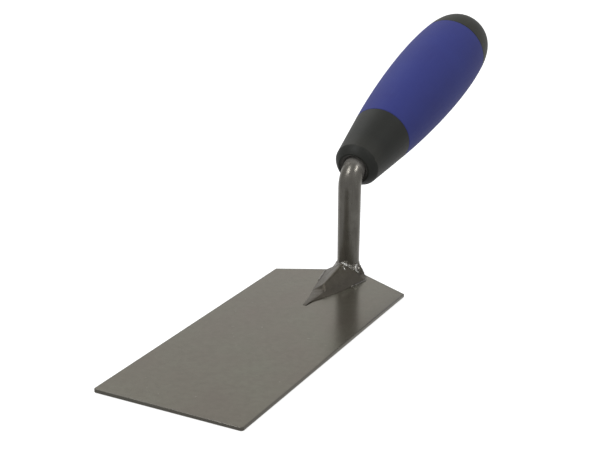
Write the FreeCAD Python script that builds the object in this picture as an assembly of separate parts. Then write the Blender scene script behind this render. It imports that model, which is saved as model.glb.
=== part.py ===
"""Flat-bladed hand trowel with a cranked round shank and a two-colour soft-grip handle.

The blade lies flat on the XY plane, toe towards -Y and pointed heel towards +Y.  The origin is
where the axis of the upright shank meets the underside of the blade, and +Z is up.  The shank
turns over at the top into a tang, which the handle is moulded round.  Handle pieces are made
in their own frame, with z running from the handle's nose to its tail, and then placed.
"""
import FreeCAD, Part

import math
import os

# Blade
BLADE_WIDTH = 60.0
BLADE_THICKNESS = 1.4
TOE_Y = -140.6
SHOULDER_Y = -8.9
HEEL_Y = 6.3
TOE_CORNER_RADIUS = 1.2
EDGE_BREAK = 0.2

# Forged foot, a pyramid whose ridge points at the toe and whose wings follow the heel.  Each
# section is: y, then half-width at the base, half-width and height at the waist, and
# half-width and height at the crest, with the heights from the top of the blade.
FOOT_FRONT = (
    (0.3, 10.6, 7.4, 1.8, 4.8, 6.2),
    (-4.8, 9.4, 5.3, 2.9, 0.6, 6.8),
    (-9.5, 8.3, 4.4, 2.7, 0.5, 5.9),
    (-22.8, 5.1, 2.8, 1.5, 0.3, 3.3),
    (-24.0, 4.6, 2.5, 0.9, 0.4, 1.6),
    (-30.0, 2.6, 1.5, 0.5, 0.4, 0.8),
    (-39.4, 0.3, 0.2, 0.1, 0.1, 0.15),
)
FOOT_BACK = (
    (4.4, 3.2, 2.6, 2.4, 2.0, 5.8),
    (6.0, 0.3, 0.2, 0.4, 0.1, 0.8),
)

# Shank and tang
SHANK_SEAT_Z = 5.4
SHANK_FOOT_RADIUS = 4.6
SHANK_RADIUS = 4.8
BEND_RADIUS = 8.5
AXES_MEET_Z = 46.3
HANDLE_RISE = 15.9
TANG_LENGTH = 58.0
TANG_TAPER_LENGTH = 8.0
TANG_TIP_RADIUS = 2.2
LUG_WIDTH = 13.5
LUG_THICKNESS = 3.0
LUG_LENGTH = 10.0
LUG_START = 34.0

# Welds
RING_RADIUS = 5.2
RING_TOP_Z = 9.2
RING_CROWN = 0.2
SEAM_RADIUS = 0.8
SEAM_LENGTH = 11.0

# Handle, measured along its axis from the flat of its nose
NOSE_OFFSET = 3.5
NOSE_FLAT_RADIUS = 7.0
NOSE_ROUND = (1.5, 8.55)
NOSE_RIM = (3.2, 9.75)
COLLAR_END = (28.2, 13.2)
BELLY = ((56.0, 16.1), (86.0, 17.35), (109.4, 16.4), (118.0, 15.1), (125.5, 11.7), (128.8, 6.8))
TAIL = 130.1
SLEEVE_END = 109.4
SKIN = 3.0
BEND_GAP = 0.05
MOUTH_GAP = 0.15
MOUTH_RADIUS = 6.2
MOUTH_DEPTH = 1.8
JOINT_BREAK = 0.2
CORE_BORE_START = 62.0
CORE_BORE_RADIUS = 10.0
SPIGOT_LENGTH = 11.0
SPIGOT_WALL = 2.5
CAP_CAVITY_END = 121.0
SNAP_POSITION = 101.0
SNAP_HEIGHT = 0.6

BEND_ANGLE = 90.0 - HANDLE_RISE
BEND_TANGENT = BEND_RADIUS * math.tan(math.radians(BEND_ANGLE / 2))
BEND_START_Z = AXES_MEET_Z - BEND_TANGENT
TANG_START = BEND_TANGENT - NOSE_OFFSET
HANDLE_AXIS = FreeCAD.Vector(
    0, math.cos(math.radians(HANDLE_RISE)), math.sin(math.radians(HANDLE_RISE))
)
X_AXIS = FreeCAD.Vector(1, 0, 0)
Z_AXIS = FreeCAD.Vector(0, 0, 1)


def point(x, y, z):
    return FreeCAD.Vector(x, y, z)


def closed_face(points):
    """Flat face whose corners are the points, in order."""
    return Part.Face(Part.makePolygon(points + points[:1]))


def on_handle_axis(shape):
    """Move a shape made along +Z from the handle's nose to its place on the handle's axis."""
    turn = FreeCAD.Rotation(X_AXIS, -BEND_ANGLE)
    nose = point(0, 0, AXES_MEET_Z) + HANDLE_AXIS * NOSE_OFFSET
    return shape.transformed(FreeCAD.Placement(nose, turn).toMatrix())


# Blade and foot


def make_blade():
    """Plate with a square toe, straight sides and a shallow pointed heel, edges broken."""
    half = BLADE_WIDTH / 2
    corners = [(-half, TOE_Y), (half, TOE_Y), (half, SHOULDER_Y), (0, HEEL_Y), (-half, SHOULDER_Y)]
    plate = closed_face([point(x, y, 0) for x, y in corners]).extrude(Z_AXIS * BLADE_THICKNESS)
    toe_corners = [
        edge for edge in plate.Edges
        if edge.BoundBox.ZLength > 0 and edge.BoundBox.YMax < TOE_Y + EDGE_BREAK
    ]
    plate = plate.makeFillet(TOE_CORNER_RADIUS, toe_corners)
    rim = [edge for edge in plate.Edges if edge.BoundBox.ZLength < EDGE_BREAK]
    return plate.makeChamfer(EDGE_BREAK, rim)


def foot_section(y, base, waist, waist_height, crest, crest_height):
    """Closed outline across the foot: flat base, waisted flanks and a flat-topped crest."""
    bottom = BLADE_THICKNESS
    right = [(base, bottom), (waist, bottom + waist_height), (crest, bottom + crest_height)]
    left = [(-x, z) for x, z in reversed(right)]
    return Part.makePolygon([point(x, y, z) for x, z in right + left + right[:1]])


def make_tang_foot():
    """Pyramid under the shank, with a step down to a low tongue in front."""
    front = [foot_section(*section) for section in FOOT_FRONT]
    back = front[:1] + [foot_section(*section) for section in FOOT_BACK]
    spur = Part.makeLoft(front, True, True).fuse(Part.makeLoft(back, True, True))
    return spur.removeSplitter().cut(make_shank())


# Shank


def make_lugs():
    """Two flattened ears that stop the tang from turning in the handle."""
    bar = Part.makeBox(LUG_WIDTH, LUG_THICKNESS, LUG_LENGTH)
    bar.translate(point(-LUG_WIDTH / 2, -LUG_THICKNESS / 2, LUG_START))
    ends = [
        edge for edge in bar.Edges
        if edge.BoundBox.YLength > 0 and edge.BoundBox.XLength + edge.BoundBox.ZLength < LUG_THICKNESS
    ]
    return bar.makeFillet(LUG_THICKNESS / 2, ends)


def make_bend(radius):
    """Quarter-round elbow, of a given thickness, between the upright leg and the handle's axis."""
    section = Part.makeCircle(radius, point(0, 0, BEND_START_Z), Z_AXIS)
    centre = point(0, BEND_RADIUS, BEND_START_Z)
    return Part.Face(Part.Wire(section)).revolve(centre, -X_AXIS, BEND_ANGLE)


def make_shank():
    """Round rod: upright leg, bend, and a tang with lugs and a tapered tip."""
    leg_length = BEND_START_Z - SHANK_SEAT_Z
    leg = Part.makeCone(SHANK_FOOT_RADIUS, SHANK_RADIUS, leg_length, point(0, 0, SHANK_SEAT_Z))
    taper_start = TANG_LENGTH - TANG_TAPER_LENGTH
    tang = rod(SHANK_RADIUS, TANG_START, taper_start)
    tip = Part.makeCone(SHANK_RADIUS, TANG_TIP_RADIUS, TANG_TAPER_LENGTH, point(0, 0, taper_start))
    tang = tang.fuse([tip, make_lugs()])
    return leg.fuse([make_bend(SHANK_RADIUS), on_handle_axis(tang)]).removeSplitter()


# Welds


def make_shank_weld_ring():
    """Rounded bead that fills the corner between the shank and the top of the foot."""
    shoulder_z = RING_TOP_Z - (RING_RADIUS - SHANK_FOOT_RADIUS)
    bottom = point(RING_RADIUS, 0, SHANK_SEAT_Z)
    shoulder = point(RING_RADIUS, 0, shoulder_z)
    top = point(SHANK_FOOT_RADIUS, 0, RING_TOP_Z)
    crown = (shoulder + top) * 0.5 + point(RING_CROWN, 0, RING_CROWN)
    axis_top, axis_bottom = point(0, 0, RING_TOP_Z), point(0, 0, SHANK_SEAT_Z)
    outline = [
        Part.makeLine(axis_bottom, bottom),
        Part.makeLine(bottom, shoulder),
        Part.Arc(shoulder, crown, top).toShape(),
        Part.makeLine(top, axis_top),
        Part.makeLine(axis_top, axis_bottom),
    ]
    bead = Part.Face(Part.Wire(outline)).revolve(point(0, 0, 0), Z_AXIS, 360)
    return bead.cut(make_shank()).cut(make_tang_foot())


def make_seam(side):
    """Fillet weld along the front of one wing, where the foot meets the blade."""
    (wing_y, wing_x), (next_y, next_x) = FOOT_FRONT[0][:2], FOOT_FRONT[2][:2]
    wing = point(side * wing_x, wing_y, BLADE_THICKNESS)
    along = (point(side * next_x, next_y, BLADE_THICKNESS) - wing).normalize()
    start = wing + along * (2 * SEAM_RADIUS)
    end = start + along * SEAM_LENGTH
    bead = Part.makeCylinder(SEAM_RADIUS, SEAM_LENGTH, start, along)
    bead = bead.fuse([Part.makeSphere(SEAM_RADIUS, start), Part.makeSphere(SEAM_RADIUS, end)])
    room = Part.makeBox(BLADE_WIDTH, BLADE_WIDTH, BLADE_WIDTH)
    room.translate(point(-BLADE_WIDTH / 2, -BLADE_WIDTH / 2, BLADE_THICKNESS))
    return bead.removeSplitter().common(room).cut(make_tang_foot())


def make_foot_weld_seams():
    return Part.makeCompound([make_seam(side).Solids[0] for side in (-1, 1)])


# Handle


def handle_form(inset=0.0):
    """The handle's outside as a solid of revolution, or that form made smaller by inset."""
    def at(position, radius):
        return point(max(radius - inset, 0), 0, position)

    nose_centre, nose_edge = point(0, 0, 0), at(0, NOSE_FLAT_RADIUS)
    rim, collar_end = at(*NOSE_RIM), at(*COLLAR_END)
    tail = point(0, 0, TAIL)
    belly = Part.BSplineCurve()
    belly.interpolate(
        Points=[collar_end] + [at(*station) for station in BELLY] + [tail],
        InitialTangent=collar_end - rim,
        FinalTangent=-X_AXIS,
        Scale=True,
    )
    outline = [
        Part.makeLine(nose_centre, nose_edge),
        Part.Arc(nose_edge, at(*NOSE_ROUND), rim).toShape(),
        Part.makeLine(rim, collar_end),
        belly.toShape(),
        Part.makeLine(tail, nose_centre),
    ]
    return Part.Face(Part.Wire(outline)).revolve(nose_centre, Z_AXIS, 360)


def rod(radius, start, end):
    """Cylinder on the handle's axis between two distances from the nose."""
    return Part.makeCylinder(radius, end - start, point(0, 0, start))


def between(start, end):
    """Disc wider than the handle, used to slice it."""
    return rod(BLADE_WIDTH, start, end)


def with_broken_rims(slab):
    """Slice of the handle with its rims broken where it meets the next moulding."""
    def at_joint(box):
        nearest = min(abs(box.Center.z - joint) for joint in (COLLAR_END[0], SLEEVE_END))
        return box.ZLength < JOINT_BREAK and nearest < JOINT_BREAK

    return slab.makeChamfer(JOINT_BREAK, [edge for edge in slab.Edges if at_joint(edge.BoundBox)])


def snap_bead(radius):
    """Ring that a bead on the cap's spigot and its groove in the core both take."""
    side = rod(radius + SNAP_HEIGHT, SNAP_POSITION - 1, SNAP_POSITION + 1)
    rims = [edge for edge in side.Edges if isinstance(edge.Curve, Part.Circle)]
    return side.makeChamfer(SNAP_HEIGHT, rims)


def make_nose_collar():
    """Black cone at the front, with a countersunk mouth that closes on the shank's bend."""
    shell = with_broken_rims(handle_form().common(between(0, COLLAR_END[0])))
    hollow = handle_form(SKIN).common(between(NOSE_RIM[0], COLLAR_END[0]))
    throat = rod(SHANK_RADIUS + MOUTH_GAP, MOUTH_DEPTH, NOSE_RIM[0])
    mouth = Part.makeCone(MOUTH_RADIUS, SHANK_RADIUS + MOUTH_GAP, MOUTH_DEPTH).fuse(throat)
    return on_handle_axis(shell.cut(hollow).cut(mouth)).cut(make_bend(SHANK_RADIUS + BEND_GAP))


def make_grip_sleeve():
    """Blue soft tube over the middle of the core."""
    band = with_broken_rims(handle_form().common(between(COLLAR_END[0], SLEEVE_END)))
    return on_handle_axis(band.cut(handle_form(SKIN)))


def make_handle_core():
    """Hard core moulded round the tang, hollow at the back to keep the tool's weight forward."""
    body = handle_form(SKIN).common(between(NOSE_RIM[0], SLEEVE_END))
    bore = rod(CORE_BORE_RADIUS, CORE_BORE_START, SLEEVE_END).fuse(snap_bead(CORE_BORE_RADIUS))
    return on_handle_axis(body.cut(bore)).cut(make_shank())


def make_end_cap():
    """Domed tail whose hollow spigot snaps into the core's bore."""
    dome = with_broken_rims(handle_form().common(between(SLEEVE_END, TAIL)))
    spigot_start = SLEEVE_END - SPIGOT_LENGTH
    spigot = rod(CORE_BORE_RADIUS, spigot_start, SLEEVE_END).fuse(snap_bead(CORE_BORE_RADIUS))
    cavity = rod(CORE_BORE_RADIUS - SPIGOT_WALL, spigot_start, CAP_CAVITY_END)
    return on_handle_axis(dome.fuse(spigot).removeSplitter().cut(cavity))


PIECES = {
    "blade": make_blade(),
    "tang_foot": make_tang_foot(),
    "foot_weld_seams": make_foot_weld_seams(),
    "shank": make_shank(),
    "shank_weld_ring": make_shank_weld_ring(),
    "handle_core": make_handle_core(),
    "nose_collar": make_nose_collar(),
    "grip_sleeve": make_grip_sleeve(),
    "end_cap": make_end_cap(),
}

os.makedirs("parts", exist_ok=True)
for name, shape in PIECES.items():
    shape.exportStep("parts/" + name + ".step")
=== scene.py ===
"""Looks of a flat-bladed hand trowel: steel blade, welded foot, cranked shank, soft two-colour grip.

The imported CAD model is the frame.  The blade, the foot and the two welds are replaced by detailed
meshes that are worked out from the CAD nodes.  The other nodes keep their CAD shape.
"""

import math
import random

import bmesh
import bpy
from mathutils import Matrix, Vector, noise
from mathutils.bvhtree import BVHTree


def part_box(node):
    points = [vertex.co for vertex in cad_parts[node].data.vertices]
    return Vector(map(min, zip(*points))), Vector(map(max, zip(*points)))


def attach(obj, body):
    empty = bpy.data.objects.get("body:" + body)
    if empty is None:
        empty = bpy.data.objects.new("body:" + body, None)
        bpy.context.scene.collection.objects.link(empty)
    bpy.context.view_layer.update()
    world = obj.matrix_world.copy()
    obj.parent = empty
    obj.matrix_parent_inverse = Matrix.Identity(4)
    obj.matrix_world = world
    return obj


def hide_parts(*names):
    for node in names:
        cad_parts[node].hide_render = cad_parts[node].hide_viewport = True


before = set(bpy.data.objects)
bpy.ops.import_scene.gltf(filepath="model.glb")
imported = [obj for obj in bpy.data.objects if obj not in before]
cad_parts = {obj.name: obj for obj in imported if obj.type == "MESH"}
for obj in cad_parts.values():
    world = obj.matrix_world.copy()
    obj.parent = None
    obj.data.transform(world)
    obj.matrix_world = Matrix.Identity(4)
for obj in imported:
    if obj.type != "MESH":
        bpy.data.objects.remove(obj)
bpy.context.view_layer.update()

# Lengths are in metres and angles in degrees, unless a name or a comment says otherwise
MM = 0.001
SEED = 7
# Places nearer than this count as one, and rays towards the foot start this far out
SAME_PLACE = 0.01 * MM
RAY_START = 0.05

# Camera: a long lens that looks down over the blade's right side.  Lens and sensor are in
# millimetres, and the turns in radians
LENS = 79.65
SENSOR_WIDTH = 36.0
CAMERA_PLACE = Vector((0.22572, -0.47483, 0.20765))
CAMERA_TURN = math.radians(27.661)
CAMERA_DROP = math.radians(19.339)
CAMERA_ROLL = math.radians(-0.457)
CAMERA_NEAR = 10 * MM

# Studio
BRIGHT_SIDE = Vector((-0.35, 0.85, -0.25)).normalized()
BRIGHT_SIDE_EDGE = 0.2
DIM_SIDE_LEVEL = 0.33
BRIGHT_SIDE_LEVEL = 0.74
BACKDROP_LEVEL = 1.0
FLOOR_SIZE = 8.0
FLOOR_DROP = 0.1 * MM
FLOOR_GLOW = 0.75
SOFTBOX_AIM = Vector((0, 0, 50 * MM))
# name: direction from the tool, distance, width, power in watts, and whether gloss mirrors it
SOFTBOXES = {
    "key_left": (Vector((-0.305, -0.55, 0.777)), 1.0, 0.34, 1.3, True),
    "key_right": (Vector((0.677, -0.083, 0.731)), 1.0, 0.20, 0.95, True),
    "high_left": (Vector((-0.62, 0.33, 0.71)), 1.0, 0.60, 0.62, True),
    "overhead": (Vector((-0.3, 0.1, 0.95)), 1.2, 0.80, 2.2, False),
}

# Handle's axis, where it crosses the shank's, and distances along it from its point nearest the origin
HANDLE_RISE = 15.9
HANDLE_AXIS = Vector((0, math.cos(math.radians(HANDLE_RISE)), math.sin(math.radians(HANDLE_RISE))))
AXES_MEET = Vector((0, 0, 46.3 * MM))
NOSE_AT = 16.2 * MM
NOSE_RIM_AT = 19.4 * MM

# Blade
BLADE_EDGE_ROUND = 0.25 * MM
BLADE_EDGE_STEPS = 4
TOE_CORNER_ROUND = 1.2 * MM
HEEL_CORNER_ROUND = 0.5 * MM
LEAST_CORNER_ROUND = 0.05 * MM
CORNER_STEPS = 6
# Distance in from the blade's outline, and how much of the rim's look is left there
RIM_FADE = ((0.6 * MM, 0.55), (1.4 * MM, 0.2), (3.0 * MM, 0.0))

# Foot: how fine its mesh is, how far it stays inside the CAD foot's ends, and the shank's hole
FOOT_STATIONS = 170
FOOT_COLUMNS = 65
FOOT_SMOOTHING = 2
FOOT_TIP_INSET = 0.1 * MM
FOOT_HEEL_INSET = 0.05 * MM
LEAST_HALF_WIDTH = 0.05 * MM
WIDTH_SCAN_HEIGHT = 0.04 * MM
HOLE_RADIUS = 4.75 * MM

# Tongue: its ridge leans to the right, fully from this share of its length on, and its tip is bent left
TONGUE_START = -22.8 * MM
TONGUE_LEAN = 1.3 * MM
TONGUE_LEAN_FULL = 0.25
TONGUE_TIP_BEND = 0.9 * MM

# Step down to the tongue: on the right it is a long slope, whose heights are read from further back.
# The shift grows and shrinks by these slopes, and is full from this share of the half width on
STEP_STRETCH = 0.8
STEP_RETURN = 1.25
STEP_END = -33.0 * MM
STEP_SLIDE_FULL = 0.4

# Right wing: beyond this share of the half width it is shortened by this share of the rest
WING_TRIM_FROM = 0.68
WING_TRIM = 0.55
WING_TRIM_START = -3.5 * MM
WING_TRIM_REACH = 3.5 * MM

# Forging marks on the foot
HAMMER_FLAT_SIZE = 3.2 * MM
HAMMER_FLAT_DEPTH = 0.17 * MM
FORGE_SCALE_SIZE = 0.9 * MM
FORGE_SCALE_DEPTH = 0.035 * MM
MARKS_FADE_HEIGHT = 1.5 * MM

# Welds are melted from balls, whose radii are drawn from these ranges
WELD_VOXEL = 0.13 * MM
BALL_SUBDIVISIONS = 2
WELD_SMOOTHING = 3
SEAM_SMOOTHING = 6
RUN_BALL_RADII_MM = (0.42, 0.5)
PATCH_BALL_RADII_MM = (0.15, 0.36)

# Fillet round the shank, as balls in layers at every turn step.  Its crown is a drop below the weld's
# top, less a peak at the front, and waves along its length
FILLET_REACH = 5.7 * MM
FILLET_SINK = 0.3 * MM
FILLET_TURN_STEP = 5
FILLET_LAYERS = 5
FILLET_HOLLOW = 0.6
CROWN_DROP_MM = 2.3
CROWN_PEAK_MM = 1.4
CROWN_PEAK_AT = 268
CROWN_PEAK_SPREAD = 16
CROWN_WAVE_MM = 0.35
CROWN_WAVE_LENGTH = 14

# Rough patch at the right of the fillet, with its ranges of angle and of distance from the shank's axis
PATCH_BALLS = 60
PATCH_ANGLES = (-28, 12)
PATCH_DISTANCES_MM = (5.2, 7.4)

# Bright beads on the fillet
BEAD_STEPS = 4
BEAD_WOBBLE_MM = 0.12
BEAD_SIZES = (0.75, 1.1)
# Points along each bead, and its radius, in millimetres
BRIGHT_BEADS = (
    (((0.1, -5.3, 8.1), (0.9, -5.4, 7.8), (1.6, -5.3, 7.4)), 0.65),
    (((1.3, -5.5, 7.6), (1.9, -5.4, 7.2)), 0.95),
    (((0.7, -6.9, 7.3), (2.5, -7.5, 6.0)), 0.44),
    (((2.8, -4.5, 7.0),), 0.35),
    (((4.9, -1.8, 7.3), (4.8, -2.5, 6.5), (4.8, -3.0, 5.6), (5.3, -3.1, 4.8), (6.2, -2.7, 4.0)), 0.47),
)

# Seams along the wings, from the front to the heel
SEAM_BALLS = 55
SEAM_START_MM = -12.0
SEAM_PITCH_MM = 0.2
SEAM_JITTER_MM = 0.05
SEAM_LIFT = 0.05 * MM

# Where materials change: low on the foot, where painted shade darkens it; on the rod near the mouth, where
# painted reflected light lightens it; and on the collar's rim and mouth, where painted light is added
# Heights on the foot where painted shade towards the blade starts, and where it is fullest
FOOT_SHADE_TOP = 6.0 * MM
FOOT_SHADE_FULL = 3.5 * MM
# Band on the rod near the mouth, which is duller, rougher and carries painted reflected light
MOUTH_BAND_START = NOSE_AT - 2.2 * MM
MOUTH_BAND_FULL = NOSE_AT - 0.4 * MM
# Width of the painted highlight along the collar's rim
RIM_LINE_CORE = 0.15 * MM
RIM_LINE_EDGE = 0.45 * MM
# Painted light on the collar's cone just behind the rim: where it starts, and how far back it fades
RIM_LIGHT_START = 0.3 * MM
RIM_LIGHT_REACH = 9 * MM
# Painted fill light on the collar round the mouth, full out to the first distance from the handle's axis
# and gone by the second
MOUTH_FILL_RADIUS = 5.7 * MM
MOUTH_FILL_EDGE = 6.4 * MM


# Mesh helpers


def add_object(name, data):
    item = bpy.data.objects.new(name, data)
    bpy.context.scene.collection.objects.link(item)
    return item


def add_mesh_object(name, model):
    """Object made from a finished bmesh, which is freed."""
    mesh = bpy.data.meshes.new(name)
    model.to_mesh(mesh)
    model.free()
    return add_object(name, mesh)


def shade_smooth(mesh):
    mesh.polygons.foreach_set("use_smooth", [True] * len(mesh.polygons))


def surface_of(node):
    """Search tree over a CAD node's mesh, for rays."""
    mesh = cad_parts[node].data
    corners = [vertex.co for vertex in mesh.vertices]
    return BVHTree.FromPolygons(corners, [tuple(face.vertices) for face in mesh.polygons])


def join_piece(item, material, replaced):
    """Give a new mesh its material and tie it to the frame in place of a CAD node."""
    item.data.materials.append(material)
    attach(item, "root")
    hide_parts(replaced)


# Blade


def rounded_outline(corners, radii, inset):
    """Outline of a convex polygon moved in by inset, with every corner rounded by an arc."""
    outline = []
    count = len(corners)
    for index, corner in enumerate(corners):
        to_previous = (corners[index - 1] - corner).normalized()
        to_next = (corners[(index + 1) % count] - corner).normalized()
        half_angle = to_previous.angle(to_next) / 2
        inward = (to_previous + to_next).normalized()
        radius = max(radii[index] - inset, LEAST_CORNER_ROUND)
        centre = corner + inward * ((inset + radius) / math.sin(half_angle))
        sweep = math.pi / 2 - half_angle
        for step in range(CORNER_STEPS + 1):
            turn = sweep * (1 - 2 * step / CORNER_STEPS)
            outline.append(centre - radius * (Matrix.Rotation(-turn, 2) @ inward))
    return outline


def blade_corners():
    """Corners of the CAD blade, seen from above, anticlockwise from the toe's left."""
    low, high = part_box("blade")
    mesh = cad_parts["blade"].data
    shoulder = max(vertex.co.y for vertex in mesh.vertices if vertex.co.x > high[0] - SAME_PLACE)
    return [
        Vector((low[0], low[1])), Vector((high[0], low[1])), Vector((high[0], shoulder)),
        Vector((0.0, high[1])), Vector((low[0], shoulder)),
    ]


def blade_profile():
    """Inset, height and share of the rim's look for each ring, from the middle of the sole up and over."""
    low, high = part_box("blade")
    edge = BLADE_EDGE_ROUND
    quarter = [math.radians(90 * step / BLADE_EDGE_STEPS) for step in range(BLADE_EDGE_STEPS + 1)]
    upper = [(edge * (1 - math.cos(a)), high[2] - edge * (1 - math.sin(a)), 1.0) for a in quarter]
    upper += [(inset, high[2], rim) for inset, rim in RIM_FADE]
    lower = [(inset, low[2] + high[2] - z, rim) for inset, z, rim in reversed(upper)]
    return lower + upper


def make_blade_plate():
    """Plate with rounded edges.  Its "rim" attribute is 1 on the edge and fades inward."""
    corners = blade_corners()
    radii = [TOE_CORNER_ROUND] * 2 + [HEEL_CORNER_ROUND] * 3
    model = bmesh.new()
    rim_layer = model.verts.layers.float.new("rim")
    rings = []
    for inset, z, rim in blade_profile():
        ring = [model.verts.new((p.x, p.y, z)) for p in rounded_outline(corners, radii, inset)]
        for vertex in ring:
            vertex[rim_layer] = rim
        rings.append(ring)
    for below, above in zip(rings, rings[1:]):
        for index in range(len(below)):
            following = (index + 1) % len(below)
            model.faces.new((below[index], below[following], above[following], above[index]))
    model.faces.new(list(reversed(rings[0])))
    model.faces.new(rings[-1])
    plate = add_mesh_object("blade_plate", model)
    shade_smooth(plate.data)
    return plate


# Foot


def half_width(surface, y, base):
    """Half the foot's width where it meets the blade, at one station."""
    hit = surface.ray_cast(Vector((RAY_START, y, base + WIDTH_SCAN_HEIGHT)), Vector((-1, 0, 0)))[0]
    return max(hit.x, LEAST_HALF_WIDTH) if hit else LEAST_HALF_WIDTH


def foot_height(surface, x, y, base, hole_radius=0.0):
    """Height of the CAD foot's skin, and over the shank's hole the height at the hole's rim."""
    out = max(hole_radius / max(math.hypot(x, y), SAME_PLACE), 1.0)
    hit = surface.ray_cast(Vector((x * out, y * out, RAY_START)), Vector((0, 0, -1)))[0]
    return max(hit.z, base) if hit else base


def hammered(x, y, z, base):
    """Height of a point of the skin with its forging marks, which fade out towards the blade."""
    place = Vector((x, y, z))
    flats = noise.noise(place / HAMMER_FLAT_SIZE) * HAMMER_FLAT_DEPTH
    scale = noise.noise(place / FORGE_SCALE_SIZE) * FORGE_SCALE_DEPTH
    rise = max(z - base, 0.0)
    fade = min(rise / MARKS_FADE_HEIGHT, 1.0)
    return base + max(rise + (flats + scale) * fade, 0.0)


def tongue_shift(x, y, width, tip):
    """How far the tongue is out of true: its ridge is ground over to one side and its tip is bent."""
    part = max((TONGUE_START - y) / (TONGUE_START - tip), 0.0)
    lean = TONGUE_LEAN * min(part / TONGUE_LEAN_FULL, 1.0)
    return lean * (1 - abs(x) / width) - TONGUE_TIP_BEND * part


def trimmed(y, part):
    """Place across the foot, from -1 to 1, after the end of the right wing is ground shorter."""
    near_heel = min(max((y - WING_TRIM_START) / WING_TRIM_REACH, 0.0), 1.0)
    return part - WING_TRIM * near_heel * max(part - WING_TRIM_FROM, 0.0)


def step_slide(y, part):
    """How far back to read the foot's height on the right, where the step is a long slope."""
    slide = max(min(STEP_STRETCH * (TONGUE_START - y), STEP_RETURN * (y - STEP_END)), 0.0)
    return slide * min(max(part, 0.0) / STEP_SLIDE_FULL, 1.0)


def foot_row(surface, y, base, tip):
    """Points across the foot at one station, from its left edge to its right."""
    width = half_width(surface, y, base)
    row = []
    for column in range(FOOT_COLUMNS):
        part = 2 * column / (FOOT_COLUMNS - 1) - 1
        x = width * trimmed(y, part)
        read_y = y + step_slide(y, part)
        read_x = half_width(surface, read_y, base) * part
        z = foot_height(surface, read_x, read_y, base, HOLE_RADIUS)
        row.append([x + tongue_shift(x, y, width, tip), y, z])
    row[0][2] = row[-1][2] = base
    return row


def soften(rows):
    """Average each inner point's height with its four neighbours' heights."""
    heights = [[place[2] for place in row] for row in rows]
    for i in range(1, FOOT_STATIONS - 1):
        for j in range(1, FOOT_COLUMNS - 1):
            near = heights[i - 1][j] + heights[i + 1][j] + heights[i][j - 1] + heights[i][j + 1]
            rows[i][j][2] = (2 * heights[i][j] + near) / 6


def close_over_sole(rows, base):
    """Hammered skin through rows of points, closed by a flat sole that shares its border."""
    model = bmesh.new()
    places = [(i, j) for i in range(FOOT_STATIONS) for j in range(FOOT_COLUMNS)]
    border = {(i, j) for i, j in places if i in (0, FOOT_STATIONS - 1) or j in (0, FOOT_COLUMNS - 1)}
    skin, sole = {}, {}
    for i, j in places:
        x, y, z = rows[i][j]
        skin[i, j] = model.verts.new((x, y, base if (i, j) in border else hammered(x, y, z, base)))
    for i, j in places:
        x, y, _ = rows[i][j]
        sole[i, j] = skin[i, j] if (i, j) in border else model.verts.new((x, y, base))
    for i in range(FOOT_STATIONS - 1):
        for j in range(FOOT_COLUMNS - 1):
            quad = [(i, j), (i, j + 1), (i + 1, j + 1), (i + 1, j)]
            model.faces.new([skin[place] for place in quad])
            model.faces.new([sole[place] for place in reversed(quad)])
    return model


def make_forged_foot():
    """Skin over the CAD foot with its ridges softened and hammer marks added."""
    surface = surface_of("tang_foot")
    low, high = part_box("tang_foot")
    base = low[2]
    start, end = low[1] + FOOT_TIP_INSET, high[1] - FOOT_HEEL_INSET
    rows = []
    for station in range(FOOT_STATIONS):
        y = start + (end - start) * station / (FOOT_STATIONS - 1)
        rows.append(foot_row(surface, y, base, start))
    for _ in range(FOOT_SMOOTHING):
        soften(rows)
    foot = add_mesh_object("forged_foot", close_over_sole(rows, base))
    shade_smooth(foot.data)
    return foot


# Welds


def melt(name, balls, smoothing):
    """One closed mesh made by melting balls, each a centre and a radius, into each other."""
    model = bmesh.new()
    for centre, radius in balls:
        place = Matrix.Translation(centre)
        bmesh.ops.create_icosphere(model, subdivisions=BALL_SUBDIVISIONS, radius=radius, matrix=place)
    source = add_mesh_object(name + "_rough", model)
    remesh = source.modifiers.new("melt", "REMESH")
    remesh.mode = "VOXEL"
    remesh.voxel_size = WELD_VOXEL
    soften_skin = source.modifiers.new("soften", "SMOOTH")
    soften_skin.iterations = smoothing
    evaluated = source.evaluated_get(bpy.context.evaluated_depsgraph_get())
    mesh = bpy.data.meshes.new_from_object(evaluated)
    mesh.name = name
    bpy.data.objects.remove(source)
    shade_smooth(mesh)
    return add_object(name, mesh)


def around_shank(angle, radius, z):
    """Point at an angle round the shank, with 0 at the right and -90 at the front."""
    return Vector((radius * math.cos(math.radians(angle)), radius * math.sin(math.radians(angle)), z))


def fillet_crown(angle):
    """Height of the fillet's upper end: wavy, and highest at the front."""
    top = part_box("shank_weld_ring")[1][2]
    peak = CROWN_PEAK_MM * math.exp(-((angle - CROWN_PEAK_AT) / CROWN_PEAK_SPREAD) ** 2)
    crown = top - (CROWN_DROP_MM - peak) * MM
    return crown + noise.noise(Vector((angle / CROWN_WAVE_LENGTH, 0, 0))) * CROWN_WAVE_MM * MM


def make_shank_weld(dice):
    """Dark fillet that climbs from the foot to the shank, with a rough patch at the right."""
    foot = surface_of("tang_foot")
    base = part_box("tang_foot")[0][2]
    balls = []
    for angle in range(0, 360, FILLET_TURN_STEP):
        crown = fillet_crown(angle)
        seat = around_shank(angle, FILLET_REACH, 0)
        seat.z = foot_height(foot, seat.x, seat.y, base)
        for layer in range(FILLET_LAYERS):
            part = layer / (FILLET_LAYERS - 1)
            z = seat.z + (crown - seat.z) * part
            spread = FILLET_REACH + (HOLE_RADIUS - FILLET_REACH) * part ** FILLET_HOLLOW
            place = around_shank(angle, spread - FILLET_SINK, z)
            balls.append((place, dice.uniform(*RUN_BALL_RADII_MM) * MM))
    for _ in range(PATCH_BALLS):
        place = around_shank(dice.uniform(*PATCH_ANGLES), dice.uniform(*PATCH_DISTANCES_MM) * MM, 0)
        place.z = foot_height(foot, place.x, place.y, base)
        balls.append((place, dice.uniform(*PATCH_BALL_RADII_MM) * MM))
    return melt("shank_weld", balls, WELD_SMOOTHING)


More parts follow.
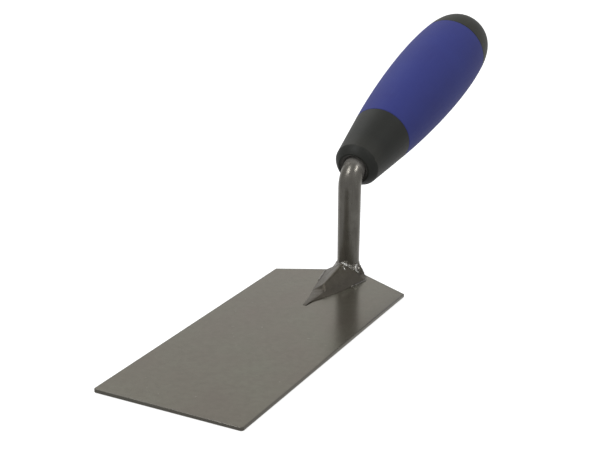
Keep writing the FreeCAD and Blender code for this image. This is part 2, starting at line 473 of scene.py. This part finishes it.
def make_weld_beads(dice):
    """Bright beads left on the fillet: a fat one in front, a streak below it, a chain at the right."""
    balls = []
    for path, radius in BRIGHT_BEADS:
        places = [Vector(place) * MM for place in path]
        spans = list(zip(places, places[1:])) or [(places[0], places[0])]
        for start, end in spans:
            for step in range(BEAD_STEPS):
                wobble = Vector(dice.uniform(-BEAD_WOBBLE_MM, BEAD_WOBBLE_MM) for _ in range(3)) * MM
                place = start.lerp(end, step / BEAD_STEPS) + wobble
                balls.append((place, radius * dice.uniform(*BEAD_SIZES) * MM))
    return melt("weld_beads", balls, WELD_SMOOTHING)


def make_seam_weld(name, side, dice):
    """Smooth low bead along the foot of one wing."""
    foot = surface_of("tang_foot")
    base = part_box("tang_foot")[0][2]
    balls = []
    for step in range(SEAM_BALLS):
        y = (SEAM_START_MM + SEAM_PITCH_MM * step) * MM
        jitter = dice.uniform(-SEAM_JITTER_MM, SEAM_JITTER_MM) * MM
        x = half_width(foot, y, base) * trimmed(y, side) + jitter
        balls.append((Vector((x, y, base + SEAM_LIFT)), dice.uniform(*RUN_BALL_RADII_MM) * MM))
    return melt(name, balls, SEAM_SMOOTHING)


# Materials


def tone(red, green=None, blue=None):
    """Linear colour, or a grey from one number."""
    return (red, green or red, blue or red, 1.0)


class Recipe:
    """A material's nodes, with one short call for each kind that the recipes use."""

    def __init__(self, name):
        self.material = bpy.data.materials.new(name)
        self.material.use_nodes = True
        self.tree = self.material.node_tree
        self.shader = self.tree.nodes["Principled BSDF"]
        self.place = self.node("ShaderNodeTexCoord").outputs["Object"]

    def node(self, kind, inputs=(), **settings):
        made = self.tree.nodes.new(kind)
        for key, value in settings.items():
            setattr(made, key, value)
        for key, value in dict(inputs).items():
            self.plug(made.inputs[key], value)
        return made

    def plug(self, socket, value):
        if isinstance(value, bpy.types.NodeSocket):
            self.tree.links.new(value, socket)
        else:
            socket.default_value = value

    def set(self, **values):
        """Plug values into the shader, as in set(base_color=...)."""
        for key, value in values.items():
            self.plug(self.shader.inputs[key.replace("_", " ").title()], value)

    def turned(self, degrees, scale):
        """Object coordinates turned, in degrees about x, y and z, and then scaled."""
        turn = tuple(math.radians(angle) for angle in degrees)
        spin = self.node("ShaderNodeMapping", {"Vector": self.place, "Rotation": turn})
        stretch = {"Vector": spin.outputs[0], "Scale": scale}
        return self.node("ShaderNodeMapping", stretch).outputs[0]

    def clouds(self, size, detail=3.0, roughness=0.55, vector=None):
        """Noise whose blotches are about size across, in metres."""
        inputs = {"Scale": 1 / size, "Detail": detail, "Roughness": roughness}
        inputs["Vector"] = vector or self.place
        return self.node("ShaderNodeTexNoise", inputs).outputs["Fac"]

    def scratches(self, size, degrees, length, width, keep):
        """Thin broken lines: 1 on a line and 0 elsewhere, with fewer lines the higher keep is."""
        lines = self.clouds(size, 1.0, 0.5, self.turned(degrees, (1 / width, 1 / length, 1 / width)))
        return self.remap(lines, keep, keep + 0.08)

    def along_handle(self):
        """Distance along the handle's axis."""
        inputs = {0: self.place, 1: HANDLE_AXIS}
        return self.node("ShaderNodeVectorMath", inputs, operation="DOT_PRODUCT").outputs["Value"]

    def off_handle(self):
        """Distance from the handle's axis."""
        inputs = {0: self.place, 1: AXES_MEET}
        place = self.node("ShaderNodeVectorMath", inputs, operation="SUBTRACT").outputs[0]
        across = self.node("ShaderNodeVectorMath", {0: place, 1: HANDLE_AXIS}, operation="CROSS_PRODUCT")
        made = self.node("ShaderNodeVectorMath", {0: across.outputs[0]}, operation="LENGTH")
        return made.outputs["Value"]

    def remap(self, value, low, high, to_low=0.0, to_high=1.0):
        keys = {"Value": value, "From Min": low, "From Max": high, "To Min": to_low, "To Max": to_high}
        return self.node("ShaderNodeMapRange", keys).outputs[0]

    def math(self, operation, first, second=0.0):
        return self.node("ShaderNodeMath", {0: first, 1: second}, operation=operation).outputs[0]

    def blend(self, factor, first, second):
        made = self.node("ShaderNodeMix", data_type="RGBA")
        self.plug(made.inputs[0], factor)
        self.plug(made.inputs[6], first)
        self.plug(made.inputs[7], second)
        return made.outputs[2]

    def bump(self, height, distance, strength, under=None):
        inputs = {"Height": height, "Distance": distance, "Strength": strength}
        if under:
            inputs["Normal"] = under
        return self.node("ShaderNodeBump", inputs).outputs[0]


def blade_steel():
    """Cold-rolled sheet: faint mottling, lengthwise grinding, nicks and a darker sheared rim."""
    brown, olive, dull = tone(0.250, 0.220, 0.184), tone(0.260, 0.253, 0.202), tone(0.212, 0.194, 0.156)
    bright, worn, sheared = tone(0.42, 0.40, 0.35), tone(0.18, 0.165, 0.14), tone(0.22, 0.21, 0.185)
    r = Recipe("blade_steel")
    r.set(metallic=0.8)
    broad = r.clouds(26 * MM, 5.0)
    grind = r.clouds(1.0 * MM, 2.0, 0.6, r.turned((0, 0, 4), (2.0, 0.05, 2.0)))
    colour = r.blend(r.remap(broad, 0.3, 0.7), brown, olive)
    colour = r.blend(r.remap(r.clouds(2.2 * MM), 0.35, 0.75, 0.0, 0.6), colour, dull)
    nick_long = r.scratches(1 * MM, (0, 0, 62), 3.2, 0.5, 0.77)
    nick_cross = r.scratches(1 * MM, (0, 0, -35), 2.4, 0.45, 0.78)
    nicks = r.math("MAXIMUM", nick_long, nick_cross)
    colour = r.blend(r.math("MULTIPLY", nicks, 0.35), colour, bright)
    rim = r.node("ShaderNodeAttribute", attribute_name="rim").outputs["Fac"]
    wear = r.math("MULTIPLY", rim, r.remap(r.clouds(3 * MM, 4.0), 0.4, 0.65))
    colour = r.blend(r.math("MULTIPLY", wear, 0.3), colour, worn)
    speckle = r.remap(r.clouds(1.2 * MM), 0.35, 0.65, 0.5, 0.8)
    colour = r.blend(r.math("MULTIPLY", r.remap(rim, 0.6, 0.9), speckle), colour, sheared)
    r.set(base_color=colour)
    rough = r.remap(broad, 0.3, 0.7, 0.17, 0.23)
    rough = r.math("ADD", rough, r.remap(grind, 0.3, 0.7, 0.0, 0.03))
    r.set(roughness=r.math("ADD", rough, r.math("MULTIPLY", nicks, 0.12)))
    normal = r.bump(grind, 0.002 * MM, 0.4)
    normal = r.bump(r.clouds(14 * MM, 2.0), 0.05 * MM, 0.25, normal)
    r.set(normal=r.bump(nicks, 0.02 * MM, -0.5, normal))
    return r.material


def forged_steel():
    """Dark hammered foot with a brown tinge, darker scale, and painted shade that darkens its low end
    towards the blade.
    """
    dark, light = tone(0.170, 0.154, 0.124), tone(0.206, 0.190, 0.154)
    scale_tone, painted_shade_tone = tone(0.14, 0.125, 0.105), tone(0.145, 0.129, 0.110)
    r = Recipe("forged_foot_steel")
    r.set(metallic=1.0)
    scale = r.clouds(0.8 * MM, 4.0, 0.65)
    colour = r.blend(r.remap(r.clouds(4.5 * MM, 4.0), 0.35, 0.65), dark, light)
    colour = r.blend(r.remap(scale, 0.52, 0.72, 0.0, 0.6), colour, scale_tone)
    height = r.node("ShaderNodeSeparateXYZ", {0: r.place}).outputs["Z"]
    # Painted shade: the foot's colour darkens towards the blade, where shade falls between foot and blade
    colour = r.blend(r.remap(height, FOOT_SHADE_TOP, FOOT_SHADE_FULL, 0.0, 0.5), colour, painted_shade_tone)
    r.set(base_color=colour, roughness=r.remap(scale, 0.3, 0.7, 0.33, 0.5))
    normal = r.bump(r.clouds(1.6 * MM, 2.0), 0.12 * MM, 0.6)
    r.set(normal=r.bump(scale, 0.03 * MM, 0.6, normal))
    return r.material


def drawn_rod():
    """Round bar: fine lines along its length, a few dark specks, and near the mouth a duller band whose
    lighter colour is painted reflected light.
    """
    dark, light, line = tone(0.255, 0.24, 0.215), tone(0.34, 0.325, 0.29), tone(0.20, 0.185, 0.165)
    # The second tone here is painted light: the lighter colour of the band at the mouth stands in for
    # reflected light
    speck, mouth_painted_light = tone(0.09, 0.075, 0.06), tone(0.36, 0.345, 0.32)
    r = Recipe("drawn_rod")
    streaks = r.clouds(0.5 * MM, 3.0, 0.6, r.turned((0, 0, 0), (1, 1, 0.05)))
    colour = r.blend(r.remap(r.clouds(5 * MM), 0.3, 0.7), dark, light)
    colour = r.blend(r.remap(streaks, 0.5, 0.75, 0.0, 0.5), colour, line)
    specks = r.remap(r.clouds(0.9 * MM, 2.0, 0.5), 0.70, 0.76)
    colour = r.blend(r.math("MULTIPLY", specks, 0.7), colour, speck)
    # Near the mouth: less metallic and rougher, with painted reflected light in its lighter colour
    mouth_band = r.remap(r.along_handle(), MOUTH_BAND_START, MOUTH_BAND_FULL)
    r.set(metallic=r.remap(mouth_band, 0.0, 1.0, 1.0, 0.2), base_color=r.blend(mouth_band, colour, mouth_painted_light))
    rough = r.remap(streaks, 0.3, 0.7, 0.24, 0.36)
    r.set(roughness=r.math("ADD", rough, r.math("MULTIPLY", mouth_band, 0.2)))
    normal = r.bump(streaks, 0.01 * MM, 0.25)
    r.set(normal=r.bump(r.clouds(2.6 * MM, 2.0), 0.16 * MM, 0.25, normal))
    return r.material


def weld_metal(name, bright, slag_from):
    """Weld bead with dark slag in patches, and more of it the lower slag_from is."""
    r = Recipe(name)
    slag = r.remap(r.clouds(0.8 * MM, 3.0, 0.6), slag_from, slag_from + 0.14)
    r.set(metallic=1.0, base_color=r.blend(slag, bright, tone(0.10, 0.085, 0.07)))
    r.set(roughness=r.remap(slag, 0.0, 1.0, 0.26, 0.5))
    r.set(normal=r.bump(r.clouds(0.45 * MM, 2.0), 0.08 * MM, 0.6))
    return r.material


def rim_and_mouth_painted_light(r, colour, light, rim_at):
    """Colour with a painted highlight broken along the collar's rim, painted light fading back behind it,
    and painted fill light in the shaded dish at the mouth.
    """
    along = r.along_handle()
    off_rim = r.math("ABSOLUTE", r.math("SUBTRACT", along, rim_at))
    # Painted highlight: a broken light line along the rim's edge, where it catches the light
    line = r.remap(off_rim, RIM_LINE_CORE, RIM_LINE_EDGE, 1.0, 0.0)
    rim_highlight = r.math("MULTIPLY", line, r.remap(r.clouds(3 * MM, 2.0), 0.45, 0.6))
    colour = r.blend(r.math("MULTIPLY", rim_highlight, 0.6), colour, light)
    # Painted light: the cone is lighter just behind the rim and fades back along the handle
    behind = r.remap(along, rim_at, rim_at + RIM_LIGHT_START)
    rim_light_band = r.math("MULTIPLY", behind, r.remap(along, rim_at, rim_at + RIM_LIGHT_REACH, 0.35, 0.0))
    colour = r.blend(rim_light_band, colour, light)
    # Painted light: the shaded dish round the mouth is lightened to a pale grey, cancelling its shade
    mouth_fill_light = r.remap(r.off_handle(), MOUTH_FILL_RADIUS, MOUTH_FILL_EDGE, 1.0, 0.0)
    return r.blend(mouth_fill_light, colour, tone(0.24, 0.235, 0.225))


def grip_rubber(name, tones, roughness, rim_at=None):
    """Soft moulded skin: satin grain, slow drift and scuffed streaks, in a base, a shade and a light."""
    base, shade, light = tones
    r = Recipe(name)
    drift = r.clouds(22 * MM)
    grain = r.clouds(0.45 * MM, 2.0, 0.5)
    colour = r.blend(r.remap(drift, 0.3, 0.7), base, shade)
    streaks = r.clouds(1.6 * MM, 3.0, 0.6, r.turned((-HANDLE_RISE, 0, 0), (1, 0.06, 1)))
    scuffs = r.math("MULTIPLY", r.remap(streaks, 0.56, 0.76), r.remap(drift, 0.45, 0.65))
    colour = r.blend(r.math("MULTIPLY", scuffs, 0.7), colour, light)
    colour = r.blend(r.remap(grain, 0.5, 0.8, 0.0, 0.25), colour, light)
    # On the collar, painted light is added at the rim and round the mouth
    if rim_at:
        colour = rim_and_mouth_painted_light(r, colour, light, rim_at)
    r.set(base_color=colour)
    rough = r.remap(grain, 0.3, 0.7, roughness - 0.06, roughness + 0.06)
    r.set(roughness=r.math("ADD", rough, r.math("MULTIPLY", scuffs, 0.08)))
    normal = r.bump(grain, 0.03 * MM, 0.5)
    r.set(normal=r.bump(r.clouds(6 * MM, 2.0), 0.12 * MM, 0.3, normal))
    return r.material


def core_plastic():
    """Hard grey-black plastic, seen only down the collar's mouth."""
    r = Recipe("core_plastic")
    grain = r.clouds(0.8 * MM)
    r.set(base_color=r.blend(grain, tone(0.02), tone(0.04)), roughness=r.remap(grain, 0, 1, 0.4, 0.6))
    r.set(normal=r.bump(grain, 0.02 * MM, 0.5))
    return r.material


def paint(node, material):
    """Put a material on a CAD node's own slots."""
    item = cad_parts[node]
    for slot in item.material_slots:
        slot.link = "OBJECT"
        slot.material = material


# Studio


def make_camera():
    data = bpy.data.cameras.new("camera")
    data.sensor_width = SENSOR_WIDTH
    data.lens = LENS
    data.clip_start = CAMERA_NEAR
    camera = add_object("camera", data)
    level = math.cos(CAMERA_DROP)
    ahead = Vector((
        -math.sin(CAMERA_TURN) * level, math.cos(CAMERA_TURN) * level, -math.sin(CAMERA_DROP)
    ))
    right = Vector((math.cos(CAMERA_TURN), math.sin(CAMERA_TURN), 0))
    up = right.cross(ahead)
    pose = Matrix((right, up, -ahead)).transposed() @ Matrix.Rotation(-CAMERA_ROLL, 3, "Z")
    camera.matrix_world = Matrix.Translation(CAMERA_PLACE) @ pose.to_4x4()
    bpy.context.scene.camera = camera


def make_world():
    """Soft surround, dim in front and brighter behind the left, over a pale backdrop."""
    world = bpy.data.worlds.new("studio")
    bpy.context.scene.world = world
    world.use_nodes = True
    tree = world.node_tree
    background = tree.nodes["Background"]
    background.inputs["Color"].default_value = tone(1.0)
    direction = tree.nodes.new("ShaderNodeTexCoord").outputs["Generated"]
    facing = tree.nodes.new("ShaderNodeVectorMath")
    facing.operation = "DOT_PRODUCT"
    facing.inputs[1].default_value = BRIGHT_SIDE
    tree.links.new(direction, facing.inputs[0])
    glow = tree.nodes.new("ShaderNodeMapRange")
    glow.interpolation_type = "SMOOTHSTEP"
    glow.inputs["From Min"].default_value = BRIGHT_SIDE_EDGE
    glow.inputs["To Min"].default_value = DIM_SIDE_LEVEL
    glow.inputs["To Max"].default_value = BRIGHT_SIDE_LEVEL
    tree.links.new(facing.outputs["Value"], glow.inputs["Value"])
    seen = tree.nodes.new("ShaderNodeLightPath").outputs["Is Camera Ray"]
    level = tree.nodes.new("ShaderNodeMix")
    level.inputs["B"].default_value = BACKDROP_LEVEL
    tree.links.new(seen, level.inputs["Factor"])
    tree.links.new(glow.outputs[0], level.inputs["A"])
    tree.links.new(level.outputs[0], background.inputs["Strength"])


def make_softboxes():
    for name, (direction, distance, size, power, mirrored) in SOFTBOXES.items():
        data = bpy.data.lights.new(name, "AREA")
        data.shape = "DISK"
        data.size = size
        data.energy = power
        lamp = add_object(name, data)
        away = direction.normalized()
        lamp.location = SOFTBOX_AIM + away * distance
        lamp.rotation_euler = away.to_track_quat("Z", "Y").to_euler()
        lamp.visible_camera = False
        lamp.visible_glossy = mirrored


def make_floor():
    """Pale sheet that fills the view, left out of the tool's lighting and reflections."""
    model = bmesh.new()
    bmesh.ops.create_grid(model, x_segments=1, y_segments=1, size=FLOOR_SIZE / 2)
    floor = add_mesh_object("floor", model)
    floor.location.z = -FLOOR_DROP
    floor.visible_glossy = False
    floor.visible_diffuse = False
    material = bpy.data.materials.new("floor_paper")
    material.use_nodes = True
    shader = material.node_tree.nodes["Principled BSDF"]
    shader.inputs["Base Color"].default_value = tone(0.8)
    shader.inputs["Roughness"].default_value = 0.9
    shader.inputs["Emission Color"].default_value = tone(1.0)
    shader.inputs["Emission Strength"].default_value = FLOOR_GLOW
    floor.data.materials.append(material)


# Build


dice = random.Random(SEED)
make_camera()
make_world()
make_softboxes()
make_floor()
bpy.context.scene.view_settings.view_transform = "Standard"

fillet = weld_metal("weld_fillet", tone(0.32, 0.305, 0.275), 0.54)
beads = weld_metal("weld_beads", tone(0.78, 0.77, 0.73), 0.6)
join_piece(make_blade_plate(), blade_steel(), "blade")
join_piece(make_forged_foot(), forged_steel(), "tang_foot")
join_piece(make_shank_weld(dice), fillet, "shank_weld_ring")
join_piece(make_weld_beads(dice), beads, "shank_weld_ring")
join_piece(make_seam_weld("left_wing_weld", -1, dice), fillet, "foot_weld_seams")
join_piece(make_seam_weld("right_wing_weld", 1, dice), fillet, "foot_weld_seams")

# Base, shade and light of each rubber
collar_tones = tone(0.0225, 0.0242, 0.0205), tone(0.028, 0.0305, 0.026), tone(0.074, 0.072, 0.059)
sleeve_tones = tone(0.043, 0.058, 0.315), tone(0.040, 0.050, 0.28), tone(0.068, 0.090, 0.36)
cap_tones = tone(0.0200, 0.0220, 0.0130), tone(0.0245, 0.0265, 0.0165), tone(0.066, 0.065, 0.048)
paint("shank", drawn_rod())
paint("handle_core", core_plastic())
paint("nose_collar", grip_rubber("collar_rubber", collar_tones, 0.5, NOSE_RIM_AT))
paint("grip_sleeve", grip_rubber("blue_rubber", sleeve_tones, 0.62))
paint("end_cap", grip_rubber("cap_rubber", cap_tones, 0.5))
